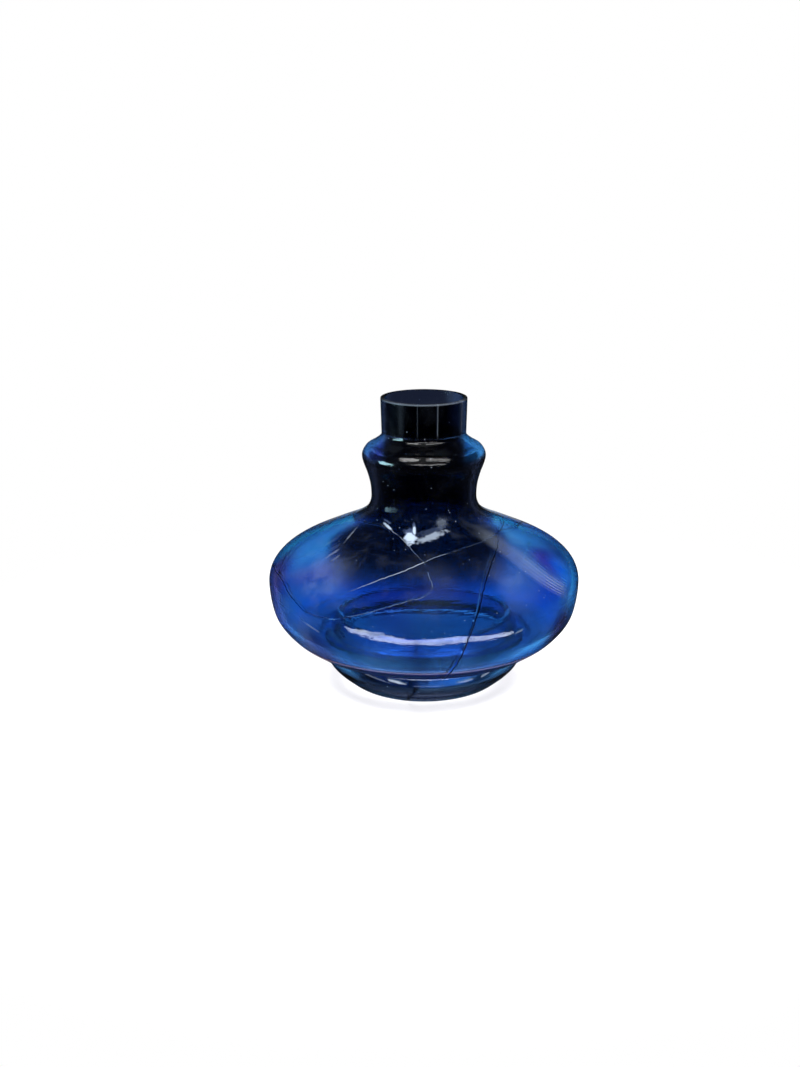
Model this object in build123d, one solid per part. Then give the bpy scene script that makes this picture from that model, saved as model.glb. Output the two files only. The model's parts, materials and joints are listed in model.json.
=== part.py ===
from build123d import *
import math
import os

# A squat vessel of moulded cobalt glass with a narrow neck. Its foot is a separate shallow cup, whose
# rim stands up inside the body through an opening in the bottom. The vessel has been broken and mended:
# eight sherds of glass stand edge to edge, with a thin dark layer of cured resin in every break.
# Millimetres, +Z up, the origin on the floor under the middle of the foot.

# Glass
wall = 3.4                      # thickness of the blown wall
mouth_bore_radius = 19.7        # straight bore inside the mouth
mouth_bore_length = 17.0
rim_round = 0.7

# Foot cup, from the floor up
contact_radius = 33.0           # outer edge of the ring that the foot stands on
contact_width = 3.0
kick_height = 2.2               # how far the underside rises inside the ring
foot_radius = 51.3              # the foot is a shallow bowl, widest just under the joint
foot_widest_height = 17.5
joint_height = 24.6             # resin joint between foot and body, hidden in a groove
joint_radius = 49.2
cup_rim_radius = 45.6           # outside of the cup's rim, which stands up inside the body
cup_rim_height = 37.6
cup_rim_round = 1.3
opening_clearance = 0.3         # between that rim and the opening in the body's bottom

# Body, neck and mouth, up to the rim
lip_radius = 49.0               # the body's bottom rises to a low lip round the opening
lip_height = 28.6
belly_radius = 57.5             # lowest line of the body, hanging just outside the joint
belly_height = 21.7
body_radius = 80.0
body_widest_height = 56.0
waist_radius = 26.8
waist_height = 99.8
collar_radius = 31.4
collar_height = 120.8
mouth_root_radius = 21.4
mouth_root_height = 132.0
rim_radius = 21.9
height = 150.2

# Breaks and resin
seam_width = 0.36
foot_joint_thickness = 0.5
break_centre_height = 45.0      # a break in the body is a fan of flat cuts about this point on the axis
break_inner_reach = 34.0        # a fan starts in the hollow
break_outer_reach = 93.0        # and ends outside the glass
overrun = 4.0                   # by which the cut through the foot passes it
wall_steps = 6                  # places along a stretch of the outline where the wall is measured
cuts_per_bearing = 2            # flat cuts from one bearing of a break line to the next

# Curves between two named points, as shares of the way across and up from the first to the second
foot_curve_shares = [(0.28, 0.09), (0.50, 0.26), (0.76, 0.50), (0.93, 0.73)]
underside_curve_shares = [(0.27, 0.09), (0.55, 0.225), (0.83, 0.45), (0.945, 0.67)]
shoulder_curve_shares = [(0.05, 0.205), (0.21, 0.385), (0.53, 0.575), (0.715, 0.67), (0.87, 0.765), (0.965, 0.86)]
collar_curve_shares = [(0.10, 0.30), (0.45, 0.60), (0.84, 0.83)]
collar_top_curve_shares = [(0.20, 0.40), (0.55, 0.60), (0.91, 0.84)]

# Break lines in the body, as bearings from the break centre: azimuth and elevation in degrees, with
# azimuth -90 at the front. Each line starts or ends on an earlier one, which it meets but doesn't cross.
break_lines = {
    "seam_neck_right": [(-90, 33), (-81, 36.5), (-57, 41), (-24, 44)],
    "seam_neck_left": [(-90, 33), (-103, 45.2), (-116, 51.6), (-133, 55)],
    "seam_neck_back": [(-133, 55), (-180, 50), (-240, 47), (-310, 47), (-384, 44)],
    "seam_right_shoulder": [(-24, 44), (21, 32), (40, 10), (56, -38)],
    "seam_sliver_upper": [(-90, 33), (-101, 27.5), (-116, 19.5), (-136, 7.6)],
    "seam_sliver_lower": [(-90, 33), (-86.8, 22.2), (-90, 18.3), (-97, 16.4), (-116, 9.8), (-124, 7.8), (-136, 7.6)],
    "seam_left_rim": [(-136, 7.6), (-145, 11), (-160, 14.5), (-184, 8), (-206, -38)],
    "seam_left_shoulder": [(-160, 14.5), (-178, 27), (-196, 38), (-216, 49)],
    "seam_front": [(-30, 43.6), (-46, 35.3), (-57, 28.8), (-67.6, 18.7), (-74.3, 4.7), (-80.6, -16), (-87, -38)],
}

# Where each sherd of the body lies, as a bearing
sherd_bearings = {
    "neck_sherd": (-70, 50),
    "left_shoulder_sherd": (-150, 30),
    "sliver_sherd": (-105, 20),
    "front_sherd": (-110, 0),
    "right_sherd": (-30, 10),
    "back_sherd": (110, 20),
}

# The foot is broken once, right across, on a slant
foot_break_azimuth = -93.0      # where the break meets the front of the foot
foot_break_lean = 27.0          # degrees from upright
foot_break_offset = -6.9        # how far to the right it meets the floor

OUTWARD, UPWARD = (1, 0), (0, 1)


def curve(start, end, shares, start_tangent, end_tangent):
    """A smooth curve through points that lie at the given shares of the way across and up."""
    points = [
        (start[0] + (end[0] - start[0]) * across, start[1] + (end[1] - start[1]) * up)
        for across, up in shares
    ]
    return Spline(start, *points, end, tangents=[start_tangent, end_tangent])


def inner_curve(edge):
    """The same stretch of outline on the inside of the wall."""
    points = []
    for step in range(wall_steps + 1):
        place = edge @ (step / wall_steps)
        along = edge % (step / wall_steps)
        points.append(place + Vector(-along.Y, along.X) * wall)
    return Spline(*points, tangents=[edge % 0, edge % 1])


def foot_glass():
    """The foot cup: a floor with a shallow kick, a bowl that rises to the joint, and a rim inside the body."""
    top = joint_height - foot_joint_thickness / 2
    ring_inside = (contact_radius - contact_width, 0)
    ring_outside = (contact_radius, 0)
    widest = (foot_radius, foot_widest_height)
    bowl = curve(ring_outside, widest, foot_curve_shares, OUTWARD, UPWARD)
    inner_bowl = inner_curve(bowl)
    lean_in = (joint_radius - foot_radius, top - foot_widest_height)
    rim_outside, rim_inside = (cup_rim_radius, cup_rim_height), (cup_rim_radius - wall, cup_rim_height)
    section = make_face([
        Line((0, wall + kick_height), (0, kick_height)),
        TangentArc((0, kick_height), ring_inside, tangent=OUTWARD),
        Line(ring_inside, ring_outside),
        bowl,
        Spline(widest, (joint_radius, top), tangents=[UPWARD, lean_in]),
        Line((joint_radius, top), (cup_rim_radius, top)),
        Line((cup_rim_radius, top), rim_outside),
        Line(rim_outside, rim_inside),
        Line(rim_inside, (cup_rim_radius - wall, joint_height)),
        Spline(inner_bowl @ 1, (cup_rim_radius - wall, joint_height), tangents=[UPWARD, UPWARD]),
        inner_bowl,
        Spline((0, wall + kick_height), inner_bowl @ 0, tangents=[OUTWARD, OUTWARD]),
    ])
    section = fillet(section.vertices().group_by(Axis.Y)[-1], cup_rim_round)
    return revolve(Plane.XZ * section, Axis.Z)


def body_glass():
    """Body, shoulder, waist, collar and mouth in one wall, open at the mouth and into the foot."""
    bottom = joint_height + foot_joint_thickness / 2
    joint, opening = (joint_radius, bottom), (cup_rim_radius + opening_clearance, bottom)
    belly = (belly_radius, belly_height)
    widest = (body_radius, body_widest_height)
    waist = (waist_radius, waist_height)
    collar = (collar_radius, collar_height)
    mouth_root = (mouth_root_radius, mouth_root_height)
    rim = (rim_radius, height)
    flare = (rim_radius - mouth_root_radius, height - mouth_root_height)
    outside = [
        curve(belly, widest, underside_curve_shares, OUTWARD, UPWARD),
        curve(widest, waist, shoulder_curve_shares, UPWARD, UPWARD),
        curve(waist, collar, collar_curve_shares, UPWARD, UPWARD),
        curve(collar, mouth_root, collar_top_curve_shares, UPWARD, flare),
    ]
    inside = [inner_curve(edge) for edge in outside]
    bore_foot = (mouth_bore_radius, height - mouth_bore_length)
    bore_rim = (mouth_bore_radius, height)
    section = make_face([
        Line(opening, joint),
        Spline(joint, belly, tangents=[OUTWARD, OUTWARD]),
        *outside,
        Line(mouth_root, rim),
        Line(rim, bore_rim),
        Line(bore_rim, bore_foot),
        Line(bore_foot, inside[-1] @ 1),
        *inside,
        Spline(opening, (lip_radius, lip_height), inside[0] @ 0, tangents=[UPWARD, OUTWARD]),
    ])
    section = fillet(section.vertices().group_by(Axis.Y)[-1], rim_round)
    return revolve(Plane.XZ * section, Axis.Z)


def foot_joint():
    """The flat ring of resin between foot and body."""
    ring = Circle(joint_radius) - Circle(cup_rim_radius)
    return extrude(Pos(0, 0, joint_height - foot_joint_thickness / 2) * ring, foot_joint_thickness)


def direction(bearing):
    azimuth, elevation = math.radians(bearing[0]), math.radians(bearing[1])
    level = math.cos(elevation)
    return Vector(math.cos(azimuth) * level, math.sin(azimuth) * level, math.sin(elevation))


def break_fan(bearings):
    """Thin flat cuts side by side, which together divide the glass along a break line."""
    centre = Vector(0, 0, break_centre_height)
    line = Spline(*bearings)
    steps = (len(bearings) - 1) * cuts_per_bearing
    places = [line @ (step / steps) for step in range(steps + 1)]
    ends = [direction((place.X, place.Y)) for place in places]
    cuts = []
    for first, last in zip(ends, ends[1:]):
        past = (last - first).normalized() * (seam_width / break_outer_reach)
        first, last = first - past, last + past
        sheet = make_face(Polyline(
            centre + first * break_inner_reach,
            centre + first * break_outer_reach,
            centre + last * break_outer_reach,
            centre + last * break_inner_reach,
            close=True,
        ))
        cuts.append(extrude(sheet, seam_width / 2, both=True))
    return cuts


def broken_body():
    """The body's sherds and the resin in its breaks, by name."""
    pieces = {}
    glass = body_glass()
    for name, bearings in break_lines.items():
        cuts = break_fan(bearings)
        gap = cuts[0].fuse(*cuts[1:])
        pieces[name] = glass & gap
        glass = glass - gap
    centre = Vector(0, 0, break_centre_height)
    for name, bearing in sherd_bearings.items():
        place = centre + direction(bearing) * body_radius
        pieces[name] = min(glass.solids(), key=lambda solid: solid.distance_to(place))
    return pieces


def broken_foot():
    """The foot's two sherds and the resin between them, by name."""
    glass = foot_glass()
    length = 2 * (foot_radius + overrun)
    slab = Box(seam_width, length, 2 * length)
    gap = Rot(0, 0, foot_break_azimuth + 90) * Pos(foot_break_offset, 0, 0) * Rot(0, foot_break_lean, 0) * slab
    left, right = (glass - gap).solids().sort_by(Axis.X)
    return {"foot_left_sherd": left, "foot_right_sherd": right, "seam_foot": glass & gap}


pieces = {**broken_body(), **broken_foot(), "foot_joint": foot_joint()}
os.makedirs("parts", exist_ok=True)
for name, piece in pieces.items():
    export_step(Compound(piece.solids()) if len(piece.solids()) > 1 else piece.solids()[0], f"parts/{name}.step")
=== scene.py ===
import json
import math
import bmesh
import bpy
import numpy as np
from functools import partial
from mathutils import Matrix, Vector
from mathutils.bvhtree import BVHTree

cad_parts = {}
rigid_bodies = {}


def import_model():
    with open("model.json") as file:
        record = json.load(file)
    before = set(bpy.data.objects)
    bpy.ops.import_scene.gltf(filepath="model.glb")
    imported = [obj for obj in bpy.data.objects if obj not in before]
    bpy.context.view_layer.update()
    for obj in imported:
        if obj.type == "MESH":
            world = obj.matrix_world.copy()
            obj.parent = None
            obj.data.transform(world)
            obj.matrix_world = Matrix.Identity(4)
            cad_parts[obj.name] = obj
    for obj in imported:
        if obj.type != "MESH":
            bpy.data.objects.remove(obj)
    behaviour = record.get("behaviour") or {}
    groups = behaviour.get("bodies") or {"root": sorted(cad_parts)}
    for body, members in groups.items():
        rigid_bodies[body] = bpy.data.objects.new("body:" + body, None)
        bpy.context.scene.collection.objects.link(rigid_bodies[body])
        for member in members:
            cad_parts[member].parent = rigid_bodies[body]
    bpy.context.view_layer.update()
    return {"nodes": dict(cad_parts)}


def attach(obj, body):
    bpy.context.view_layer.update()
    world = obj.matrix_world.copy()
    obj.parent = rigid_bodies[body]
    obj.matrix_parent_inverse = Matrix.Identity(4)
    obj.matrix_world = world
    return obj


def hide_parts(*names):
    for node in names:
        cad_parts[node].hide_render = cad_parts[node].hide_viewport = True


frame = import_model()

# A mended vessel of cobalt glass on a cup-shaped foot. The outline, the breaks and the light strip are in
# millimetres. Places in the materials, the lamps and the camera are in metres.

mm = 0.001
print("frame loaded:", len(frame["nodes"]), "nodes")


def hexToLinear(code):
    channels = [int(code[i:i + 2], 16) / 255 for i in (1, 3, 5)]
    return (*[c / 12.92 if c <= 0.04045 else ((c + 0.055) / 1.055) ** 2.4 for c in channels], 1.0)


sums = {"plus": "ADD", "minus": "SUBTRACT", "times": "MULTIPLY", "over": "DIVIDE", "larger": "MAXIMUM",
        "lessThan": "LESS_THAN", "unsigned": "ABSOLUTE", "root": "SQRT", "floor": "FLOOR", "modulo": "MODULO",
        "sine": "SINE", "cosine": "COSINE", "bearing": "ARCTAN2"}
nodeKinds = {  # short names for the nodes that come often, with their settings
    **{name: ("ShaderNodeMath", {"operation": operation}) for name, operation in sums.items()},
    "axes": ("ShaderNodeSeparateXYZ", {}),
    "distance": ("ShaderNodeVectorMath", {"operation": "DISTANCE"}),
    "length": ("ShaderNodeVectorMath", {"operation": "LENGTH"}),
    "stretch": ("ShaderNodeVectorMath", {"operation": "MULTIPLY"}),
    "ramp": ("ShaderNodeMapRange", {"interpolation_type": "SMOOTHSTEP"}),  # value, low, high, start, end
    "blend": ("ShaderNodeMix", {"data_type": "RGBA"}),  # share, first and second colour
    "tintBlend": ("ShaderNodeMix", {"data_type": "RGBA", "blend_type": "MULTIPLY"}),
    "noise": ("ShaderNodeTexNoise", {}),
    "clear": ("ShaderNodeBsdfTransparent", {}),
    "blendShaders": ("ShaderNodeMixShader", {}),  # share, first and second shader
    "placeAt": ("GeometryNodeSampleIndex", {"data_type": "FLOAT_VECTOR"}),
}


def addNode(tree, kind, *inputs):  # numbers, colours, sockets and nodes, in order or in a dictionary
    kind, settings = nodeKinds.get(kind, (kind, {}))
    node = tree.nodes.new(kind)
    for name, value in settings.items():
        setattr(node, name, value)
    if inputs and isinstance(inputs[0], dict):
        pairs = [(node.inputs[name], value) for name, value in inputs[0].items()]
    else:
        pairs = zip([socket for socket in node.inputs if socket.enabled], inputs)
    for socket, value in pairs:
        if isinstance(value, bpy.types.Node):
            value = next(output for output in value.outputs if output.enabled)
        if isinstance(value, bpy.types.NodeSocket):
            tree.links.new(value, socket)
        else:
            socket.default_value = hexToLinear(value) if isinstance(value, str) else value
    return node


def emptied(thing):  # returns what adds a node to the emptied tree
    thing.use_nodes = True
    thing.node_tree.nodes.clear()
    return partial(addNode, thing.node_tree)


def addObject(name, mesh):
    thing = bpy.data.objects.new(name, mesh)
    bpy.context.scene.collection.objects.link(thing)
    return thing


def turnOutward(work):
    bmesh.ops.recalc_face_normals(work, faces=work.faces)
    if work.calc_volume(signed=True) < 0:
        bmesh.ops.reverse_faces(work, faces=work.faces)


# The outline, as the real vessel's section: the same sizes as the solids

outline = {
    "wall": 3.4,
    "boreRadius": 19.7, "boreLength": 17.0, "rimRound": 0.7,
    "contactRadius": 33.0, "contactWidth": 3.0, "kickHeight": 2.2,
    "foot": (51.3, 17.5), "jointHeight": 24.6, "jointRadius": 49.2, "jointThickness": 0.5,
    "cupRim": (45.6, 37.6), "cupRimRound": 1.3, "openingClearance": 0.3, "lip": (49.0, 28.6),
    "belly": (57.5, 21.7), "widest": (80.0, 56.0), "waist": (26.8, 99.8), "collar": (31.4, 120.8),
    "mouthRoot": (21.4, 132.0), "rim": (21.9, 150.2),
    "footShares": [(0.28, 0.09), (0.50, 0.26), (0.76, 0.50), (0.93, 0.73)],
    "undersideShares": [(0.27, 0.09), (0.55, 0.225), (0.83, 0.45), (0.945, 0.67)],
    "shoulderShares": [(0.05, 0.205), (0.21, 0.385), (0.53, 0.575), (0.715, 0.67), (0.87, 0.765),
                       (0.965, 0.86)],
    "collarShares": [(0.10, 0.30), (0.45, 0.60), (0.84, 0.83)],
    "collarTopShares": [(0.20, 0.40), (0.55, 0.60), (0.91, 0.84)],
    "stepsPerSpan": 7,  # mesh rings between two points of the outline
    "turnSteps": 288,  # mesh columns round the axis
    "sameSpot": 0.01,  # points of a section that lie nearer than this become one
    "weld": 0.001,  # and corners of a mesh
}
outward, upward, inward, downward = (1, 0), (0, 1), (-1, 0), (0, -1)


def smoothRun(points, startWay, endWay, steps=outline["stepsPerSpan"]):
    points = np.array(points, float)
    ways = np.zeros_like(points)
    ways[1:-1] = (points[2:] - points[:-2]) / 2
    ways[0] = np.array(startWay) * np.linalg.norm(points[1] - points[0])
    ways[-1] = np.array(endWay) * np.linalg.norm(points[-1] - points[-2])
    out = [points[0]]
    for a, b, wayA, wayB in zip(points, points[1:], ways, ways[1:]):
        length = np.linalg.norm(b - a)
        wayA = wayA / np.linalg.norm(wayA) * length
        wayB = wayB / np.linalg.norm(wayB) * length
        for t in np.arange(1, steps + 1) / steps:
            out.append((2 * t**3 - 3 * t**2 + 1) * a + (t**3 - 2 * t**2 + t) * wayA
                       + (3 * t**2 - 2 * t**3) * b + (t**3 - t**2) * wayB)
    return np.array(out)


def sharedRun(start, end, shares, startWay, endWay):
    between = [(start[0] + (end[0] - start[0]) * across, start[1] + (end[1] - start[1]) * up)
               for across, up in shares]
    return smoothRun([start, *between, end], startWay, endWay)


def insideOf(run):
    along = np.gradient(run, axis=0)
    along /= np.linalg.norm(along, axis=1, keepdims=True)
    return run + np.stack([-along[:, 1], along[:, 0]], axis=1) * outline["wall"]


def straight(start, end, steps):
    share = np.linspace(0, 1, steps + 1)[:, None]
    return np.array(start) * (1 - share) + np.array(end) * share


def roundedCorner(corner, before, after, radius, steps=5):
    corner = np.array(corner, float)
    towardBefore = (np.array(before) - corner) / np.linalg.norm(np.array(before) - corner)
    towardAfter = (np.array(after) - corner) / np.linalg.norm(np.array(after) - corner)
    start, end = corner + towardBefore * radius, corner + towardAfter * radius
    share = np.linspace(0, 1, steps + 1)[:, None]
    return start * (1 - share) ** 2 + corner * 2 * share * (1 - share) + end * share**2


def joined(*runs):
    points = []
    for run in runs:
        for point in run:
            if not points or np.linalg.norm(np.array(point) - points[-1]) > outline["sameSpot"]:
                points.append(np.array(point, float))
    if np.linalg.norm(points[0] - points[-1]) < outline["sameSpot"]:
        points.pop()
    return np.array(points)


def bodySection():
    o = outline
    bottom = o["jointHeight"] + o["jointThickness"] / 2
    flare = np.array(o["rim"]) - np.array(o["mouthRoot"])
    flare /= np.linalg.norm(flare)
    outside = [
        sharedRun(o["belly"], o["widest"], o["undersideShares"], outward, upward),
        sharedRun(o["widest"], o["waist"], o["shoulderShares"], upward, upward),
        sharedRun(o["waist"], o["collar"], o["collarShares"], upward, upward),
        sharedRun(o["collar"], o["mouthRoot"], o["collarTopShares"], upward, flare),
    ]
    whole = np.concatenate([outside[0], *[run[1:] for run in outside[1:]]])
    opening = (o["cupRim"][0] + o["openingClearance"], bottom)
    joint = (o["jointRadius"], bottom)
    boreRim = (o["boreRadius"], o["rim"][1])
    boreFoot = (o["boreRadius"], o["rim"][1] - o["boreLength"])
    inside = insideOf(whole)[::-1]
    return joined(
        straight(opening, joint, steps=2),
        smoothRun([joint, o["belly"]], outward, outward, steps=10),
        whole,
        straight(o["mouthRoot"], o["rim"], steps=8)[:-1],
        roundedCorner(o["rim"], o["mouthRoot"], boreRim, o["rimRound"]),
        roundedCorner(boreRim, o["rim"], boreFoot, o["rimRound"]),
        straight(boreRim, boreFoot, steps=8)[1:],
        inside,
        smoothRun([inside[-1], o["lip"], opening], inward, downward, steps=8),
    )


def footSection():
    o = outline
    top = o["jointHeight"] - o["jointThickness"] / 2
    ring = (o["contactRadius"], 0)
    ringInside = (o["contactRadius"] - o["contactWidth"], 0)
    bowl = sharedRun(ring, o["foot"], o["footShares"], outward, upward)
    innerBowl = insideOf(bowl)
    leanIn = np.array((o["jointRadius"] - o["foot"][0], top - o["foot"][1]))
    leanIn /= np.linalg.norm(leanIn)
    rimInside = (o["cupRim"][0] - o["wall"], o["cupRim"][1])
    cupInside = (rimInside[0], o["jointHeight"])
    cupOutside = (o["cupRim"][0], top)
    floorTop = (0, o["wall"] + o["kickHeight"])
    kick = [(ringInside[0] * t, o["kickHeight"] * (1 - t**2)) for t in np.linspace(0, 1, num=13)]
    return joined(
        kick,
        straight(ringInside, ring, steps=2),
        bowl,
        smoothRun([o["foot"], (o["jointRadius"], top)], upward, leanIn),
        straight((o["jointRadius"], top), cupOutside, steps=2),
        straight(cupOutside, o["cupRim"], steps=5)[:-1],
        roundedCorner(o["cupRim"], cupOutside, rimInside, o["cupRimRound"]),
        roundedCorner(rimInside, o["cupRim"], cupInside, o["cupRimRound"]),
        straight(rimInside, cupInside, steps=5)[1:],
        smoothRun([cupInside, innerBowl[-1]], downward, downward),
        innerBowl[::-1],
        smoothRun([innerBowl[0], floorTop], inward, inward, steps=12),
    )


def jointSection():
    o = outline
    low, high = o["jointHeight"] - o["jointThickness"] / 2, o["jointHeight"] + o["jointThickness"] / 2
    inner, outer = o["cupRim"][0], o["jointRadius"]
    return joined(straight((inner, low), (outer, low), steps=2), [(outer, high), (inner, high)])


# Glass turned on its axis: a geometry-node lathe that takes a section and turns it

def latheTree():
    tree = bpy.data.node_groups.new("turnedGlass", "GeometryNodeTree")
    face = tree.interface
    face.new_socket("Section", in_out="INPUT", socket_type="NodeSocketGeometry")
    for name, value in (("Columns", outline["turnSteps"]), ("Section Points", 2), ("Closed", 1)):
        face.new_socket(name, in_out="INPUT", socket_type="NodeSocketInt").default_value = value
    face.new_socket("Glass", in_out="INPUT", socket_type="NodeSocketMaterial")
    face.new_socket("Turned", in_out="OUTPUT", socket_type="NodeSocketGeometry")
    add = partial(addNode, tree)
    start = add("NodeGroupInput").outputs
    rows = add("plus", start["Section Points"], start["Closed"])
    columns = add("plus", start["Columns"], 1)
    grid = add("GeometryNodeMeshGrid", {"Vertices X": columns, "Vertices Y": rows})
    index = add("GeometryNodeInputIndex")
    row = add("modulo", add("modulo", index, rows), start["Section Points"])
    column = add("floor", add("over", index, rows))
    angle = add("times", add("over", column, start["Columns"]), 2 * math.pi)
    place = add("GeometryNodeInputPosition")
    sample = add("placeAt", {"Geometry": start["Section"], "Value": place, "Index": row})
    axes = add("axes", sample).outputs
    spot = add("ShaderNodeCombineXYZ", {
        "X": add("times", axes["X"], add("cosine", angle)),
        "Y": add("times", axes["X"], add("sine", angle)),
        "Z": axes["Z"]})
    turned = add("GeometryNodeSetPosition", {"Geometry": grid, "Position": spot})
    merged = add("GeometryNodeMergeByDistance", {"Geometry": turned, "Distance": outline["weld"] * mm})
    real = add("GeometryNodeRealizeInstances", {"Geometry": merged})
    dressed = add("GeometryNodeSetMaterial", {"Geometry": real, "Material": start["Glass"]})
    add("NodeGroupOutput", {"Turned": dressed})
    return tree


def plainMesh(thing, name):
    seen = thing.evaluated_get(bpy.context.evaluated_depsgraph_get())
    mesh = bpy.data.meshes.new_from_object(seen)
    mesh.name = name
    return mesh


def turnedGlass(name, section, material, closed=True):
    outlineMesh = bpy.data.meshes.new(name + "Section")
    outlineMesh.from_pydata([(x * mm, 0, z * mm) for x, z in section],
                            [(i, i + 1) for i in range(len(section) - 1)], [])
    thing = addObject(name, outlineMesh)
    lathe = thing.modifiers.new("lathe", "NODES")
    lathe.node_group = latheTree()
    wanted = {"Section Points": len(section), "Closed": int(closed), "Glass": material}
    for socket in lathe.node_group.interface.items_tree:
        if socket.in_out == "INPUT" and socket.name in wanted:
            lathe[socket.identifier] = wanted[socket.name]
    mesh = plainMesh(thing, name)
    bpy.data.objects.remove(thing)
    work = bmesh.new()
    work.from_mesh(mesh)
    bmesh.ops.dissolve_degenerate(work, edges=work.edges, dist=outline["weld"] / 10 * mm)
    turnOutward(work)
    print(name, "closed:", all(edge.is_manifold for edge in work.edges), "faces:", len(work.faces))
    work.to_mesh(mesh)
    work.free()
    return mesh


# What the materials share

def band(add, value, rise, fall):  # full between the two, and nothing before and after them
    return add("times", add("ramp", value, *rise), add("ramp", value, *fall))


def litThrough(add, shader):  # lamps shine through each layer and lose only a little on the way
    shadowRay = add("ShaderNodeLightPath").outputs["Is Shadow Ray"]
    add("ShaderNodeOutputMaterial", add("blendShaders", shadowRay, shader, add("clear", glassLook["shade"])))


# The dry film of age on the outside of the glass, which in places is painted light: painted highlights,
# painted reflections and painted sheen. Each layer says how much of it lies at a place

scoredReflectionLook = {  # a pale streak down over the right shoulder: fine scores, side by side, that carry a painted reflection
    "start": (0.0265, 0.0873), "length": 0.0440,
    "slope": -0.42, "sag": -4.8,  # the course bends down more and more
    "halfWidths": (0.0020, 0.0038), "sides": (1.2, 0.3),
    "begins": (-0.1, 0.2), "ends": (1.02, 0.94),  # shares of its length
    "pitch": 0.0011, "wave": (0.2, 1.0),  # from one score to the next
    "haze": 0.07, "scores": 0.22, "scoresFrom": (0.35, 0.95),
    "clouds": (0.40, 0.55, 0.15, 1.2),
}


# the painted reflection along the scores, in front only
def scoredReflectionAmount(add, axes, cloud):
    look = scoredReflectionLook
    x = add("minus", axes["X"], look["start"][0])
    z = add("minus", axes["Z"], look["start"][1])
    course = add("times", x, add("plus", add("times", x, look["sag"]), look["slope"]))
    off = add("minus", z, course)
    share = add("over", x, look["length"])
    first, last = look["halfWidths"]
    half = add("plus", add("times", share, last - first), first)
    inside = add("ramp", add("over", add("unsigned", off), half), *look["sides"])
    inside = add("times", inside, add("lessThan", axes["Y"], 0.0))
    inside = add("times", inside, band(add, share, look["begins"], look["ends"]))
    wave = add("sine", add("times", off, 2 * math.pi / look["pitch"]))
    scores = add("times", add("ramp", wave, *look["wave"]),
                   add("ramp", share, *look["scoresFrom"], 0.0, look["scores"]))
    scores = add("times", scores, add("ramp", cloud, *look["clouds"]))
    return add("times", inside, add("plus", scores, look["haze"]))


ageFilmAndPaintedLightLook = {
    "colour": "#B8C6DA",  # dry bloom of age with dust, and the colour of the painted highlights, reflections and sheen
    "foldColour": "#A88C9C",  # and the pinker tint it takes at the fold just above the foot, where it also paints a highlight line
    "foldHeights": ((0.033, 0.031), (0.024, 0.026)),
    "cloudScale": 42, "cloudDetail": 5.0, "cloudRoughness": 0.6,
    "cloudBand": (0.34, 0.66), "cloudStrength": 0.20,
    "softReflectionPatches": [  # cloudy places, painted soft reflections: middle, reach, strength
        ((-0.053, -0.047, 0.0715), 0.015, 0.48), ((-0.046, -0.059, 0.066), 0.013, 0.25),
        ((-0.066, -0.043, 0.046), 0.026, 0.50), ((0.041, -0.057, 0.070), 0.014, 0.35),
        ((0.0, -0.067, 0.071), 0.017, 0.12),
    ],
    "softReflectionFade": 1.6,  # times the reach, where a soft reflection ends
    "paintedHighlights": [  # painted highlights in front, chips of light: place across and up, half sizes, slope, strength
        ((-0.0066, 0.0872), (0.0030, 0.0018), 0.0, 0.50), ((0.0036, 0.0877), (0.0074, 0.0011), 0.20, 0.24),
        ((-0.0047, 0.0896), (0.0008, 0.0016), -0.5, 0.5), ((-0.0178, 0.0903), (0.0020, 0.0006), -0.35, 0.4),
        ((-0.0449, 0.0788), (0.0036, 0.0003), 0.5, 0.14), ((-0.0438, 0.0776), (0.0026, 0.0003), 0.5, 0.11),
        ((-0.0363, 0.0850), (0.0028, 0.0003), 0.8, 0.16), ((0.0085, 0.0925), (0.0028, 0.0022), 0.0, 0.07),
        ((-0.0128, 0.0166), (0.0046, 0.0007), -0.18, 1.0), ((-0.0240, 0.0172), (0.0070, 0.0004), -0.2, 0.25),
        ((0.0207, 0.0162), (0.0045, 0.0006), 0.1, 0.45), ((0.0310, 0.0176), (0.0030, 0.0006), 0.3, 0.45),
        ((0.0040, 0.0150), (0.0080, 0.0003), 0.0, 0.20),
        ((-0.0545, 0.0488), (0.0040, 0.0004), -0.35, 0.30), ((0.0452, 0.0490), (0.0022, 0.0004), 0.25, 0.35),
    ],
    "paintedHighlightEdge": (1.3, 0.5), "raggedScale": 420.0, "ragged": 1.6,
    "contourSheenDust": (0.84, 0.98, 0.25),  # slants between which dust on the shoulder catches light, and how much: painted sheen along the shoulder's contour
    "contourSheenDustSides": (0.04, -0.03, 1.15, 0.85),  # a little more of it on the right
    "contourSheenDustHeights": ((0.076, 0.083), (0.094, 0.090)),
    "speckScale": 330, "speckSize": 0.065, "speckShare": 0.34, "speckStrength": 0.42,
    "mouthReflectionStreaks": [  # painted reflections down the mouth: azimuth, width in degrees, strength
        (-98.5, 0.8, 0.035), (-71.8, 1.1, 0.11), (-122.0, 7.0, 0.012), (-30.0, 3.0, 0.05),
    ],
    "mouthHeights": (0.132, 0.136), "mouthClouds": (0.3, 0.5, 0.4, 1.0),
    "litEdgeLines": [(0.0290, 0.0010, 0.32), (0.1498, 0.0006, 0.12)],  # painted highlight lines at the fold above the foot and at the rim: height, half the width, strength
    "litEdgeLinesFront": (0.0, -0.016),  # they show in front only
    "veilScale": 70, "veilDetail": 6.0, "veilDistortion": 1.2, "veilBand": (0.50, 0.70),
    "veil": 0.014, "veilHeights": (0.100, 0.085, 0.25, 1.0),  # thin on the body, thinner on the neck
}


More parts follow.
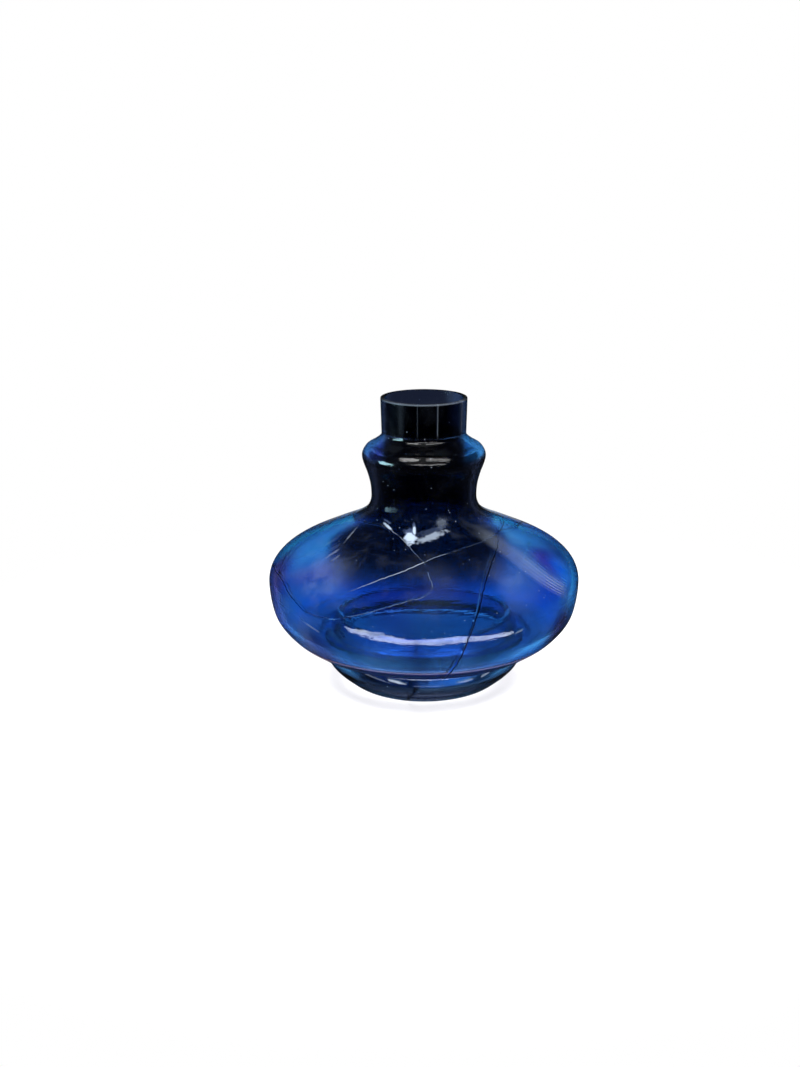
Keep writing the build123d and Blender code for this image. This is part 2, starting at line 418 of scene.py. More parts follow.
# painted soft reflections, broken up by the cloud
def softReflectionAmount(add, spot, cloud):
    total = 0.0
    for place, reach, strength in ageFilmAndPaintedLightLook["softReflectionPatches"]:
        away = add("distance", spot, place)
        total = add("plus", add("ramp", away, 0.0, reach * ageFilmAndPaintedLightLook["softReflectionFade"], strength, 0.0), total)
    clouded = add("times", total, add("ramp", cloud, *ageFilmAndPaintedLightLook["cloudBand"]))
    return add("times", clouded, ageFilmAndPaintedLightLook["cloudStrength"])


def speckAmount(add, spot):
    specks = add("ShaderNodeTexVoronoi", {"Vector": spot, "Scale": ageFilmAndPaintedLightLook["speckScale"]}).outputs
    kept = add("lessThan", add("axes", specks["Color"]).outputs["X"], ageFilmAndPaintedLightLook["speckShare"])
    dot = add("times", add("lessThan", specks["Distance"], ageFilmAndPaintedLightLook["speckSize"]), kept)
    return add("times", dot, ageFilmAndPaintedLightLook["speckStrength"])


# painted highlights in front, with ragged edges
def withPaintedHighlights(add, total, spot, axes):
    unevenness = add("minus", add("noise", spot, ageFilmAndPaintedLightLook["raggedScale"]), 0.5)
    ragged = add("times", unevenness, ageFilmAndPaintedLightLook["ragged"])
    inFront = add("lessThan", axes["Y"], 0.0)
    for (across, height), (wide, tall), slope, strength in ageFilmAndPaintedLightLook["paintedHighlights"]:
        x = add("minus", axes["X"], across)
        z = add("minus", add("minus", axes["Z"], height), add("times", x, slope))
        x, z = add("over", x, wide), add("over", z, tall)
        reach = add("root", add("plus", add("times", x, x), add("times", z, z)))
        paintedHighlight = add("ramp", add("plus", reach, ragged), *ageFilmAndPaintedLightLook["paintedHighlightEdge"], 0.0, strength)
        total = add("larger", total, add("times", paintedHighlight, inFront))
    return total


# painted sheen where the shoulder is seen at a slant, drawn as dust
def contourSheenDustAmount(add, axes, slant):
    low, high, strength = ageFilmAndPaintedLightLook["contourSheenDust"]
    contourSheenDust = add("times", add("ramp", slant, low, high, 0.0, strength),
                 add("ramp", axes["X"], *ageFilmAndPaintedLightLook["contourSheenDustSides"]))
    return add("times", contourSheenDust, band(add, axes["Z"], *ageFilmAndPaintedLightLook["contourSheenDustHeights"]))


def ageFilmAndPaintedLightAmount(add, spot, slant):
    axes = add("axes", spot).outputs
    cloud = add("noise", spot, ageFilmAndPaintedLightLook["cloudScale"], ageFilmAndPaintedLightLook["cloudDetail"], ageFilmAndPaintedLightLook["cloudRoughness"])
    total = add("plus", softReflectionAmount(add, spot, cloud), speckAmount(add, spot))
    total = withPaintedHighlights(add, total, spot, axes)
    total = add("larger", total, contourSheenDustAmount(add, axes, slant))
    total = add("plus", total, scoredReflectionAmount(add, axes, cloud))
    bearing = add("bearing", axes["Y"], axes["X"])
    onMouth = add("times", add("ramp", axes["Z"], *ageFilmAndPaintedLightLook["mouthHeights"]),
                    add("ramp", cloud, *ageFilmAndPaintedLightLook["mouthClouds"]))
    # painted reflections, as pale streaks down the mouth
    for azimuth, width, strength in ageFilmAndPaintedLightLook["mouthReflectionStreaks"]:
        off = add("unsigned", add("minus", bearing, math.radians(azimuth)))
        streak = add("times", add("ramp", off, 0.0, math.radians(width), strength, 0.0), onMouth)
        total = add("plus", total, streak)
    # painted highlight lines, in front only
    for height, half, strength in ageFilmAndPaintedLightLook["litEdgeLines"]:
        off = add("unsigned", add("minus", axes["Z"], height))
        wearAndLitLine = add("ramp", off, 0.0, half, strength, 0.0)
        total = add("plus", total, add("times", wearAndLitLine, add("ramp", axes["Y"], *ageFilmAndPaintedLightLook["litEdgeLinesFront"])))
    veil = add("noise", {"Vector": spot, "Scale": ageFilmAndPaintedLightLook["veilScale"], "Detail": ageFilmAndPaintedLightLook["veilDetail"],
                         "Distortion": ageFilmAndPaintedLightLook["veilDistortion"]})
    veil = add("times", add("ramp", veil, *ageFilmAndPaintedLightLook["veilBand"], 0.0, ageFilmAndPaintedLightLook["veil"]),
                 add("ramp", axes["Z"], *ageFilmAndPaintedLightLook["veilHeights"]))
    return add("plus", total, veil)


# Cobalt glass

glassLook = {
    "cobalt": "#3880C2",  # moulded body: two walls together leave the square of this
    "azure": "#2890E8", "azureFrom": (0.52, 0.66),  # streaks where the melt was not stirred through
    "violet": "#4658BA", "violetFrom": (0.46, 0.34),
    "streakScale": 9.0, "streakDetail": 1.5, "streakDistortion": 0.6,  # a streak is about 110 mm long
    "lightAndShadeZones": [  # places where the tint is made paler or deeper, which paints light and shade into the glass there: middle, reach, colour
        ((-0.052, -0.010, 0.080), 0.034, "#68CCFF"), ((0.044, -0.004, 0.085), 0.028, "#68CCFF"),
        ((0.062, -0.028, 0.073), 0.014, "#4A48B8"), ((0.071, -0.026, 0.067), 0.014, "#30A8FF"),
        ((-0.078, -0.016, 0.058), 0.022, "#4E4A9C"), ((-0.051, -0.053, 0.034), 0.019, "#2A4488"),
        ((0.070, -0.035, 0.038), 0.020, "#2A2850"), ((-0.048, 0.034, 0.077), 0.030, "#3A94F0"),
        ((0.050, 0.030, 0.078), 0.030, "#328CF4"),
        ((-0.020, -0.072, 0.036), 0.020, "#54AAFF"), ((0.014, -0.074, 0.036), 0.017, "#58A8FF"),
        ((0.029, -0.004, 0.126), 0.011, "#4CA4F4"), ((-0.029, -0.004, 0.126), 0.010, "#4080D0"),
    ],
    "lightAndShadeZoneFade": (0.8, 1.5),  # times the reach, where a zone begins to fade and where it ends
    "low": "#3478D4", "lowHeights": (0.024, 0.040),  # the underside of the body
    "underside": "#566AA2", "undersideHeights": (0.029, 0.027),  # painted shade: brownish blue just above the foot, where the groove under the body is in shade
    "ring": (0.086, 0.093),  # heights between which the whole ring round the neck turns dark
    "paintedShadeLobe": (0.065, 0.082),  # painted shade: heights between which the lobe in front of the neck turns dark
    "paintedShadeLobeSides": (0.030, 0.050),  # how far it reaches to either side
    "paintedShadeLobeFront": (-0.006, -0.024),
    "leftward": 0.003,  # the lobe and the mouth's dark middle lie this far to the left
    "collarSideLight": (0.0175, 0.0215), "collarSideLightShare": 0.95,  # painted light: the collar's left and right sides are made less dark, as if light came through them
    "collarSideLightHeights": ((0.119, 0.1225), (0.135, 0.132)),
    "mouthSideLight": (0.012, 0.020), "mouthSideLightShare": 0.40,  # and, a little, the mouth's sides: painted light too
    "mouthSideLightHeights": (0.130, 0.136),
    "slate": "#34548C", "slateFrom": (0.0, 0.35),  # deeper and deeper toward the neck
    "dusk": "#28344E", "duskFrom": (0.3, 0.68),
    "night": "#181E30", "nightFrom": (0.6, 1.0),
    "edge": "#2480B0", "edgeSlant": (0.56, 0.78),  # where the wall is seen at a slant, light has a longer way
    "edgeOnCollar": 0.45,  # and this much of that shows on the collar
    "cupEdgeFrom": (0.024, 0.028),  # heights between which the foot's rim, in the body, shows less of it
    "shade": "#F8F8F9",  # each wall takes this little from a lamp's light on its way to the floor
    "ior": 1.45, "roughness": 0.02,
    "waveScale": 26, "waveHeight": 0.00022, "waveStrength": 0.5,  # soft ripples left by the mould
    "collar": ((0.115, 0.120), (0.135, 0.131)),  # heights where the collar begins and ends
    "markScale": 1.6, "markStretch": (5.0, 500),  # fine rings round the axis, left by turning the hot glass
    "marks": (0.3, 1.2),  # how strong these are on the body and on the collar
    "waist": "#16161A", "waistEnd": 0.8,  # the waist mirrors less: its reflections are tinted nearly black, so it looks darker
    "collarRoughness": 0.10, "collarRoughFrom": (0.105, 0.115),  # the collar's polish has gone soft
}


def darkAmount(add, axes):
    aside = add("unsigned", add("plus", axes["X"], glassLook["leftward"]))
    # painted shade: a dark lobe on the shoulder in front of the neck
    paintedShadeLobe = add("times", add("ramp", axes["Z"], *glassLook["paintedShadeLobe"]),
                 add("ramp", aside, *glassLook["paintedShadeLobeSides"], 1.0, 0.0))
    paintedShadeLobe = add("times", paintedShadeLobe, add("ramp", axes["Y"], *glassLook["paintedShadeLobeFront"]))
    darkness = add("larger", add("ramp", axes["Z"], *glassLook["ring"]), paintedShadeLobe)
    # painted light on the collar's and the mouth's sides
    paintedCollarLight = add("times", add("ramp", add("unsigned", axes["X"]), *glassLook["collarSideLight"]),
                   band(add, axes["Z"], *glassLook["collarSideLightHeights"]))
    darkness = add("minus", darkness, add("times", paintedCollarLight, glassLook["collarSideLightShare"]))
    mouth = add("times", add("ramp", aside, *glassLook["mouthSideLight"]),
                  add("ramp", axes["Z"], *glassLook["mouthSideLightHeights"]))
    return add("minus", darkness, add("times", mouth, glassLook["mouthSideLightShare"]))


def glassTint(add, spot):
    axes = add("axes", spot).outputs
    look = glassLook
    melt = add("noise", {"Vector": spot, "Scale": look["streakScale"], "Detail": look["streakDetail"],
                         "Distortion": look["streakDistortion"]})
    blue = add("blend", add("ramp", melt, *look["azureFrom"]), look["cobalt"], look["azure"])
    blue = add("blend", add("ramp", melt, *look["violetFrom"]), blue, look["violet"])
    blue = add("blend", add("ramp", axes["Z"], *look["lowHeights"], 1.0, 0.0), blue, look["low"])
    begin, end = look["lightAndShadeZoneFade"]
    # painted light and shade, in places
    for place, reach, colour in look["lightAndShadeZones"]:
        away = add("plus", add("distance", spot, place), add("times", melt, reach))
        blue = add("blend", add("ramp", away, reach * begin, reach * end, 1.0, 0.0), blue, colour)
    tint = add("blend", add("ramp", axes["Z"], *look["undersideHeights"]), blue, look["underside"])
    darkness = darkAmount(add, axes)
    for deeper in ("slate", "dusk", "night"):
        tint = add("blend", add("ramp", darkness, *look[deeper + "From"]), tint, look[deeper])
    return tint


footLook = {
    "front": "#142A4A", "back": "#4C72A0", "backFrom": (-0.012, 0.020),  # the foot cup is a greyer blue
    "low": "#484A58", "lowHeights": (0.011, 0.004),
    "floor": "#90B4F0", "floorRadii": (0.036, 0.030),  # and nearly clear where it is thinnest
    "gleam": "#3C7CB4",  # painted gleam: a paler crescent of light half way up its bowl
    "gleamHeights": ((0.011, 0.015), (0.022, 0.017)), "gleamFrom": (0.38, 0.60),
    "cupFront": "#B4D0F4", "cupBack": "#A8C4EC",  # its pale rim inside the body
    "cupHeights": (0.020, 0.026),
    "streakScale": 40.0, "streakDetail": 2.5, "streakDistortion": 0.6,
}


def footTint(add, spot):
    axes = add("axes", spot).outputs
    look = footLook
    melt = add("noise", {"Vector": spot, "Scale": look["streakScale"], "Detail": look["streakDetail"],
                         "Distortion": look["streakDistortion"]})
    level = add("stretch", spot, (1, 1, 0))
    back = add("ramp", axes["Y"], *look["backFrom"])
    gleam = add("times", band(add, axes["Z"], *look["gleamHeights"]), add("ramp", melt, *look["gleamFrom"]))
    blue = add("blend", gleam, look["front"], look["gleam"])
    blue = add("blend", add("ramp", axes["Z"], *look["lowHeights"]), blue, look["low"])
    blue = add("blend", back, blue, look["back"])
    blue = add("blend", add("ramp", add("length", level), *look["floorRadii"]), blue, look["floor"])
    rim = add("blend", back, look["cupFront"], look["cupBack"])
    return add("blend", add("ramp", axes["Z"], *look["cupHeights"]), blue, rim)


def turningMarks(add, axes, onCollar):
    around, upAxis = glassLook["markStretch"]
    turned = add("ShaderNodeCombineXYZ", {
        "X": add("times", add("bearing", axes["Y"], axes["X"]), around),
        "Y": add("times", axes["Z"], upAxis)})
    marks = add("noise", turned, glassLook["markScale"])
    return add("times", marks, add("ramp", onCollar, 0.0, 1.0, *glassLook["marks"]))


def glassMaterial(name, tintOf, dulledWaist=False, cupEdge=1.0):
    material = bpy.data.materials.new(name)
    add = emptied(material)
    spot = add("ShaderNodeTexCoord").outputs["Object"]
    slant = add("ShaderNodeLayerWeight", {"Blend": 0.5}).outputs["Facing"]
    axes = add("axes", spot).outputs
    onCollar = band(add, axes["Z"], *glassLook["collar"])
    edge = add("times", add("ramp", slant, *glassLook["edgeSlant"]),
                 add("ramp", onCollar, 0.0, 1.0, 1.0, glassLook["edgeOnCollar"]))
    edge = add("times", edge, add("ramp", axes["Z"], *glassLook["cupEdgeFrom"], 1.0, cupEdge))
    tint = add("tintBlend", edge, tintOf(add, spot), glassLook["edge"])
    ripples = add("noise", spot, glassLook["waveScale"])
    relief = add("plus", ripples, turningMarks(add, axes, onCollar))
    bump = add("ShaderNodeBump", {"Height": relief, "Distance": glassLook["waveHeight"],
                                  "Strength": glassLook["waveStrength"]})
    sockets = {"Base Color": tint, "Normal": bump, "Transmission Weight": 1.0, "IOR": glassLook["ior"],
               "Roughness": glassLook["roughness"]}
    if dulledWaist:
        dull = add("minus", 1.0, add("ramp", onCollar, 0.0, glassLook["waistEnd"]))
        sockets["Specular Tint"] = add("blend", dull, "#FFFFFF", glassLook["waist"])
        sockets["Roughness"] = add("ramp", axes["Z"], *glassLook["collarRoughFrom"],
                                   glassLook["roughness"], glassLook["collarRoughness"])
    glass = add("ShaderNodeBsdfPrincipled", sockets)
    # a diffuse layer: the dry bloom of age, and in places painted highlights, painted reflections and painted
    # sheen
    fold = band(add, axes["Z"], *ageFilmAndPaintedLightLook["foldHeights"])
    ageFilmAndPaintedLightColour = add("blend", fold, ageFilmAndPaintedLightLook["colour"], ageFilmAndPaintedLightLook["foldColour"])
    ageFilmAndPaintedLight = add("ShaderNodeBsdfDiffuse", ageFilmAndPaintedLightColour)
    litThrough(add, add("blendShaders", ageFilmAndPaintedLightAmount(add, spot, slant), glass, ageFilmAndPaintedLight))
    return material


# Thick cobalt glass: the neck looks nearly black, its waist mirrors less, and the lamps give soft lights on
# its collar; the collar's and the mouth's sides are painted lighter, with painted highlights at its root.
darkGlass = glassMaterial("darkCobaltGlass", glassTint, dulledWaist=True)
# Cobalt glass blown into a mould: clear blue with soft ripples, paler and deeper where the melt was uneven,
# with painted light and shade in places and painted shade in front under the neck.
blueGlass = glassMaterial("mouldedCobaltGlass", glassTint)
# Cobalt glass of another batch, for the foot: greyer, and the light comes through its thin floor; a painted
# gleam and painted highlights lie on its bowl.
footGlass = glassMaterial("footCobaltGlass", footTint, cupEdge=0.25)


# Resin in the breaks, and the faces of the breaks

resinLook = {  # what holds for a seam unless it says otherwise
    "roughness": 0.4, "specular": 0.1,
    "wear": 0.3, "wearEdge": 0.12, "wearScale": 160.0,  # how much is worn away, in spots of about 6 mm
    "fades": (),  # axis, the place where the line is lost, the place where it is full
    "clear": "#A8BCDC",  # where the stain is worn away, a clear bluish layer is left
}
# The pale, chalky seams are painted glints along the breaks, faded where the glint ends; the dark seams are
# stained resin
seamLooks = {
    "seam_neck_right": {"colour": "#8C98AC", "strength": 0.5, "wear": 0.46, "fades": [("X", 0.030, 0.006)]},
    "seam_neck_left": {"colour": "#98A4B4", "strength": 0.5, "wear": 0.4,
                       "fades": [("X", -0.024, -0.016), ("X", 0.004, -0.013)]},
    "seam_neck_back": {"colour": "#20304C", "strength": 0.2},
    "seam_right_shoulder": {"colour": "#20304C", "strength": 0.2},
    "seam_sliver_upper": {"colour": "#C8D4E4", "strength": 0.62, "wear": 0.34,
                          "fades": [("X", -0.036, -0.030)]},
    "seam_sliver_lower": {"colour": "#98ACC8", "strength": 0.30, "wear": 0.42,
                          "fades": [("X", -0.041, -0.034)]},
    "seam_left_rim": {"colour": "#060A18", "strength": 1.0, "wear": 0.12, "roughness": 0.5},
    "seam_left_shoulder": {"colour": "#20304C", "strength": 0.2},
    "seam_front": {"colour": "#04060C", "strength": 1.0, "wear": 0.1, "roughness": 0.5,
                   "fades": [("Z", 0.086, 0.080)]},
    "seam_foot": {"colour": "#060A14", "strength": 0.9, "wear": 0.2, "roughness": 0.5},
    # the joint ring's dark blue stain also paints the shade in the groove between body and foot
    "foot_joint": {"colour": "#3A4A78", "strength": 0.25, "roughness": 0.3},
}


def resinMaterial(name, look):
    material = bpy.data.materials.new(name)
    add = emptied(material)
    spot = add("ShaderNodeTexCoord").outputs["Object"]
    axes = add("axes", spot).outputs
    wearAndLitLine = add("noise", spot, look["wearScale"])
    begin, end = look["wear"] - look["wearEdge"], look["wear"] + look["wearEdge"]
    shown = add("ramp", wearAndLitLine, begin, end, 0.0, look["strength"])
    for axis, lost, full in look["fades"]:
        shown = add("times", shown, add("ramp", axes[axis], lost, full))
    # a dark stain, or on the pale seams a painted glint
    stainAndGlint = add("ShaderNodeBsdfPrincipled", {
        "Base Color": look["colour"], "Roughness": look["roughness"], "Specular IOR Level": look["specular"]})
    litThrough(add, add("blendShaders", shown, add("clear", look["clear"]), stainAndGlint))
    return material


# Cured resin, stained on the outside: thin dark lines, and pale chalky lines that are painted glints, broken
# up where the stain is worn away.
resins = {node: resinMaterial("curedResin_" + node, {**resinLook, **look})
          for node, look in seamLooks.items()}

# A clean break wetted by the resin: the eye sees nothing of it, so that each break reads as one line.
breakFace = bpy.data.materials.new("wettedBreakFace")
add = emptied(breakFace)
add("ShaderNodeOutputMaterial", add("clear", "#FFFFFF"))
print("materials made")


# The breaks, as bearings from a point inside: azimuth and elevation in degrees, azimuth -90 at the front

breaks = {
    "centreHeight": 45.0, "innerReach": 34.0, "outerReach": 93.0, "seamWidth": 0.36,
    "probeReach": 200,  # a sherd is looked for from this far outside
    "footAzimuth": -93.0, "footLean": 27.0, "footOffset": -6.9,
    "overrun": 4,  # by which the cut through the foot passes it
    "footProbe": (45, 9),  # across and up, a place in either half of the foot
    "stepsPerSpan": 10, "wander": 0.12,  # wander: the small unevenness of a break, in degrees
    "seed": 7,
    "sharpAngle": 32,  # degrees, from which an edge of the glass stays sharp
    "widths": {  # shares of the width, from start to end
        "seam_front": (0.7, 2.2), "seam_sliver_upper": (0.8, 0.3), "seam_neck_right": (0.8, 0.5),
        "seam_sliver_lower": (0.55, 0.7), "seam_left_rim": (1.0, 1.0), "seam_neck_left": (0.5, 0.7),
        "seam_foot": (0.4, 0.4),
    },
}
breakLines = {  # each starts or ends on an earlier one, which it meets but doesn't cross
    "seam_neck_right": [(-90, 33), (-81, 36.5), (-57, 41), (-24, 44)],
    "seam_neck_left": [(-90, 33), (-103, 45.2), (-116, 51.6), (-133, 55)],
    "seam_neck_back": [(-133, 55), (-180, 50), (-240, 47), (-310, 47), (-384, 44)],
    "seam_right_shoulder": [(-24, 44), (21, 32), (40, 10), (56, -38)],
    "seam_sliver_upper": [(-90, 33), (-101, 27.5), (-116, 19.5), (-136, 7.6)],
    "seam_sliver_lower": [(-90, 33), (-86.8, 22.2), (-90, 18.3), (-97, 16.4), (-116, 9.8), (-124, 7.8),
                          (-136, 7.6)],
    "seam_left_rim": [(-136, 7.6), (-145, 11), (-160, 14.5), (-184, 8), (-206, -38)],
    "seam_left_shoulder": [(-160, 14.5), (-178, 27), (-196, 38), (-216, 49)],
    "seam_front": [(-30, 43.6), (-46, 35.3), (-57, 28.8), (-67.6, 18.7), (-74.3, 4.7), (-80.6, -16),
                   (-87, -38)],
}
sherdBearings = {
    "neck_sherd": (-70, 50), "left_shoulder_sherd": (-150, 30), "sliver_sherd": (-105, 20),
    "front_sherd": (-110, 0), "right_sherd": (-30, 10), "back_sherd": (110, 20),
}
centre = Vector((0, 0, breaks["centreHeight"]))
chance = np.random.default_rng(breaks["seed"])


def wayAlong(bearing):
    azimuth, elevation = (math.radians(angle) for angle in bearing)
    return Vector((math.cos(elevation) * math.cos(azimuth), math.cos(elevation) * math.sin(azimuth),
                   math.sin(elevation)))


def evenWays(bearings):  # a smooth line through the bearings, with the unevenness
    points = np.array(bearings, float)
    padded = np.concatenate([2 * points[:1] - points[1:2], points, 2 * points[-1:] - points[-2:-1]])
    ways = []
    for a, b, c, d in zip(padded, padded[1:], padded[2:], padded[3:]):
        for t in np.arange(breaks["stepsPerSpan"]) / breaks["stepsPerSpan"]:
            spot = (2 * b + (c - a) * t + (2 * a - 5 * b + 4 * c - d) * t**2
                    + (3 * b - a - 3 * c + d) * t**3) / 2
            ways.append(spot + chance.normal(0, breaks["wander"], 2) * (0 < len(ways)))
    ways.append(points[-1])
    return [wayAlong(way) for way in ways]


def cutter(name, corners, faces):
    mesh = bpy.data.meshes.new(name + "Cut")
    mesh.from_pydata(corners, [], faces)
    mesh.materials.append(breakFace)
    work = bmesh.new()
    work.from_mesh(mesh)
    turnOutward(work)
    work.to_mesh(mesh)
    work.free()
    return addObject(mesh.name, mesh)


def breakFan(name, bearings):
    ways = evenWays(bearings)
    runOn = breaks["seamWidth"] / breaks["outerReach"]
    first, last = ways[0], ways[-1]
    ways[0] = (first + (first - ways[1]).normalized() * runOn).normalized()
    ways[-1] = (last + (last - ways[-2]).normalized() * runOn).normalized()
    corners, faces = [], []
    widths = np.linspace(*breaks["widths"].get(name, (1, 1)), len(ways)) * breaks["seamWidth"]
    for index, way in enumerate(ways):
        along = ways[min(index + 1, len(ways) - 1)] - ways[max(index - 1, 0)]
        side = along.cross(way).normalized() * widths[index] / 2
        for reach, sign in (("innerReach", -1), ("outerReach", -1), ("outerReach", 1), ("innerReach", 1)):
            corners.append((centre + way * breaks[reach] + side * sign) * mm)
        if index:
            for corner in range(4):
                a, b = 4 * index - 4 + corner, 4 * index - 4 + (corner + 1) % 4
                faces.append((a, b, b + 4, a + 4))
    faces += [(3, 2, 1, 0), tuple(4 * len(ways) - 4 + corner for corner in range(4))]
    return cutter(name, corners, faces)


def footSlab():
    size = 2 * (outline["foot"][0] + breaks["overrun"])
    place = (Matrix.Rotation(math.radians(breaks["footAzimuth"] + 90), 4, "Z")
             @ Matrix.Translation((breaks["footOffset"], 0, 0))
             @ Matrix.Rotation(math.radians(breaks["footLean"]), 4, "Y"))
    half = (breaks["seamWidth"] * breaks["widths"]["seam_foot"][0] / 2, size / 2, size)
    corners = [place @ Vector((half[0] * x, half[1] * y, half[2] * z)) * mm
               for x in (-1, 1) for y in (-1, 1) for z in (-1, 1)]
    faces = [(0, 1, 3, 2), (4, 6, 7, 5), (0, 4, 5, 1), (2, 3, 7, 6), (0, 2, 6, 4), (1, 5, 7, 3)]
    return cutter("seam_foot", corners, faces)


def cutMesh(mesh, tool, operation):
    thing = addObject("cutting", mesh.copy())
    knife = thing.modifiers.new("break", "BOOLEAN")
    knife.operation, knife.solver, knife.object = operation, "MANIFOLD", tool
    knife.material_mode = "TRANSFER"
    result = plainMesh(thing, mesh.name)
    bpy.data.objects.remove(thing)
    return result


def looseParts(mesh):
    work = bmesh.new()
    work.from_mesh(mesh)
    work.verts.ensure_lookup_table()
    seen, parts = set(), []
    for start in work.verts:
        if start.index in seen:
            continue
        group, waiting = {start.index}, [start]
        while waiting:
            for edge in waiting.pop().link_edges:
                for corner in edge.verts:
                    if corner.index not in group:
                        group.add(corner.index)
                        waiting.append(corner)
        seen |= group
        part = work.copy()
        part.verts.ensure_lookup_table()
        others = [corner for corner in part.verts if corner.index not in group]
        bmesh.ops.delete(part, geom=others, context="VERTS")
        parts.append(part)
    work.free()
    return parts


def finished(node, work, looks):
    mesh = bpy.data.meshes.new(node + "_fine")
    for edge in work.edges:
        edge.smooth = edge.calc_face_angle(0) < math.radians(breaks["sharpAngle"])
    for face in work.faces:
        face.smooth = True
    work.to_mesh(mesh)
    work.free()
    for material in looks:
        mesh.materials.append(material)
    thing = addObject(node + "_fine", mesh)
    thing.visible_diffuse = False  # the floor takes no blue light from the glass
    thing.visible_shadow = not node.startswith("seam")  # nor dark lines from the thin resin
    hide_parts(node)
    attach(thing, "root")


def isBreakFace(material):
    return bool(material) and material.name == breakFace.name


def brokenGlass(whole, tools, sherdOf, plain):
    glass = whole
    for name, tool in tools.items():
        seam = cutMesh(glass, tool, "INTERSECT")
        glass = cutMesh(glass, tool, "DIFFERENCE")
        work = bmesh.new()
        work.from_mesh(seam)
        for face in work.faces:  # the resin is stained outside only
            inward = face.normal.dot(face.calc_center_median() - centre * mm) < 0
            face.material_index = int(inward or isBreakFace(seam.materials[face.material_index]))
        finished(name, work, (resins[name], breakFace))
        bpy.data.objects.remove(tool)
    onBreak = [int(isBreakFace(material)) for material in glass.materials]
    for part in looseParts(glass):
        tree = BVHTree.FromBMesh(part)
        node = min(sherdOf, key=lambda key: tree.find_nearest(sherdOf[key])[3])
        for face in part.faces:
            face.material_index = onBreak[face.material_index]
        if node == "neck_sherd":
            finished(node, part, (darkGlass, breakFace))
        else:
            finished(node, part, (plain, breakFace))


body = turnedGlass("body", bodySection(), blueGlass)
bodyTree = BVHTree.FromPolygons([corner.co for corner in body.vertices],
                                [face.vertices for face in body.polygons])
probes = {}
for node, bearing in sherdBearings.items():
    outside = (centre + wayAlong(bearing) * breaks["probeReach"]) * mm
    probes[node] = bodyTree.ray_cast(outside, -wayAlong(bearing))[0]
fans = {name: breakFan(name, bearings) for name, bearings in breakLines.items()}
brokenGlass(body, fans, probes, blueGlass)
print("body broken and mended")

foot = turnedGlass("foot", footSection(), footGlass, closed=False)
across, height = breaks["footProbe"]
footProbes = {"foot_left_sherd": Vector((-across, 0, height)) * mm,
              "foot_right_sherd": Vector((across, 0, height)) * mm}
brokenGlass(foot, {"seam_foot": footSlab()}, footProbes, footGlass)

ring = bmesh.new()
ring.from_mesh(turnedGlass("joint", jointSection(), resins["foot_joint"]))
for face in ring.faces:
    face.material_index = 0
finished("foot_joint", ring, [resins["foot_joint"]])
print("foot broken, mended and joined")


# Studio: a pale floor that fades into white, lamps, and a bent light strip that the body mirrors

floorLook = {
    "radius": 0.34, "corners": 96, "fade": (0.16, 0.32),
    "colour": "#F4F4F4", "mirrored": "#22242A",
}
roomLook = {  # what the glass mirrors of the room
    "front": 0.010, "back": 0.012, "frontToBack": (-0.3, 0.5),
    "horizon": 0.012, "horizonFrom": (0.93, 0.99),  # and of the white backdrop
}
stripLook = {
    "course": [  # place and width along the strip
        (-84, -97, 28, 2), (-77, -102, 24, 8), (-65, -112, 21.5, 12), (-49, -119, 19, 15),
        (-32, -124, 15, 12), (-16, -127, 13, 9), (1, -128, 13.5, 11), (24, -127, 14, 13),
        (46, -120, 15, 12), (66, -107, 16, 9), (84, -90, 17, 5), (92, -82, 18, 2),
    ],
    "colour": "#DCE8FF", "strength": 15, "dimmed": 0.6,  # the strip is dimmed unevenly
    "unevenScale": 70.0, "unevenDetail": 3.0, "unevenBand": (0.36, 0.56),
}
overheadLamp = {"place": (0.1, -0.2, 1.1), "aim": (0, 0, 0), "size": (0.7, 0.7), "power": 26}
neckLamps = {  # these light only the neck
    "frontHighLeft": {"place": (-0.18, -0.26, 0.53), "size": (0.24, 0.13), "power": 0.85},
    "frontHighRight": {"place": (0.20, -0.26, 0.53), "size": (0.34, 0.16), "power": 0.80},
    "frontLow": {"place": (0.06, -0.44, 0.30), "size": (0.56, 0.08), "power": 0.9},
    "frontSky": {"place": (0, -0.45, 0.75), "size": (0.9, 0.9), "power": 0.9},
    "leftWindow": {"place": (-0.58, -0.18, 0.16), "size": (0.34, 0.20), "power": 4.0,
                   "along": (0, 1, 0), "colour": "#BFF4FF"},
}
neckAim = (0, 0, 0.12)
view = {"lens": 47.03, "shift": -0.0224, "place": (0, -0.690, 0.279), "down": 16.18}


def onlySeenBy(lamp, pieces):
    seen = bpy.data.collections.new(lamp.name + "Sees")
    for piece in pieces:
        seen.objects.link(piece)
    lamp.light_linking.receiver_collection = seen


def areaLamp(name, look, only=()):  # a lamp for some pieces only is mirrored by them, and another isn't
    light = bpy.data.lights.new(name, "AREA")
    light.shape, light.size, light.size_y = "RECTANGLE", *look["size"]
    light.energy = look["power"]
    light.color = hexToLinear(look.get("colour", "#FFFFFF"))[:3]
    lamp = addObject(name, light)
    place, along = Vector(look["place"]), Vector(look.get("along", (1, 0, 0)))
    back = (place - Vector(look.get("aim", neckAim))).normalized()
    across = (along - back * along.dot(back)).normalized()
    turn = Matrix((across, back.cross(across), back)).transposed().to_4x4()
    lamp.matrix_world = Matrix.Translation(place) @ turn
    if only:
        onlySeenBy(lamp, only)
    lamp.visible_glossy, lamp.visible_transmission = bool(only), False


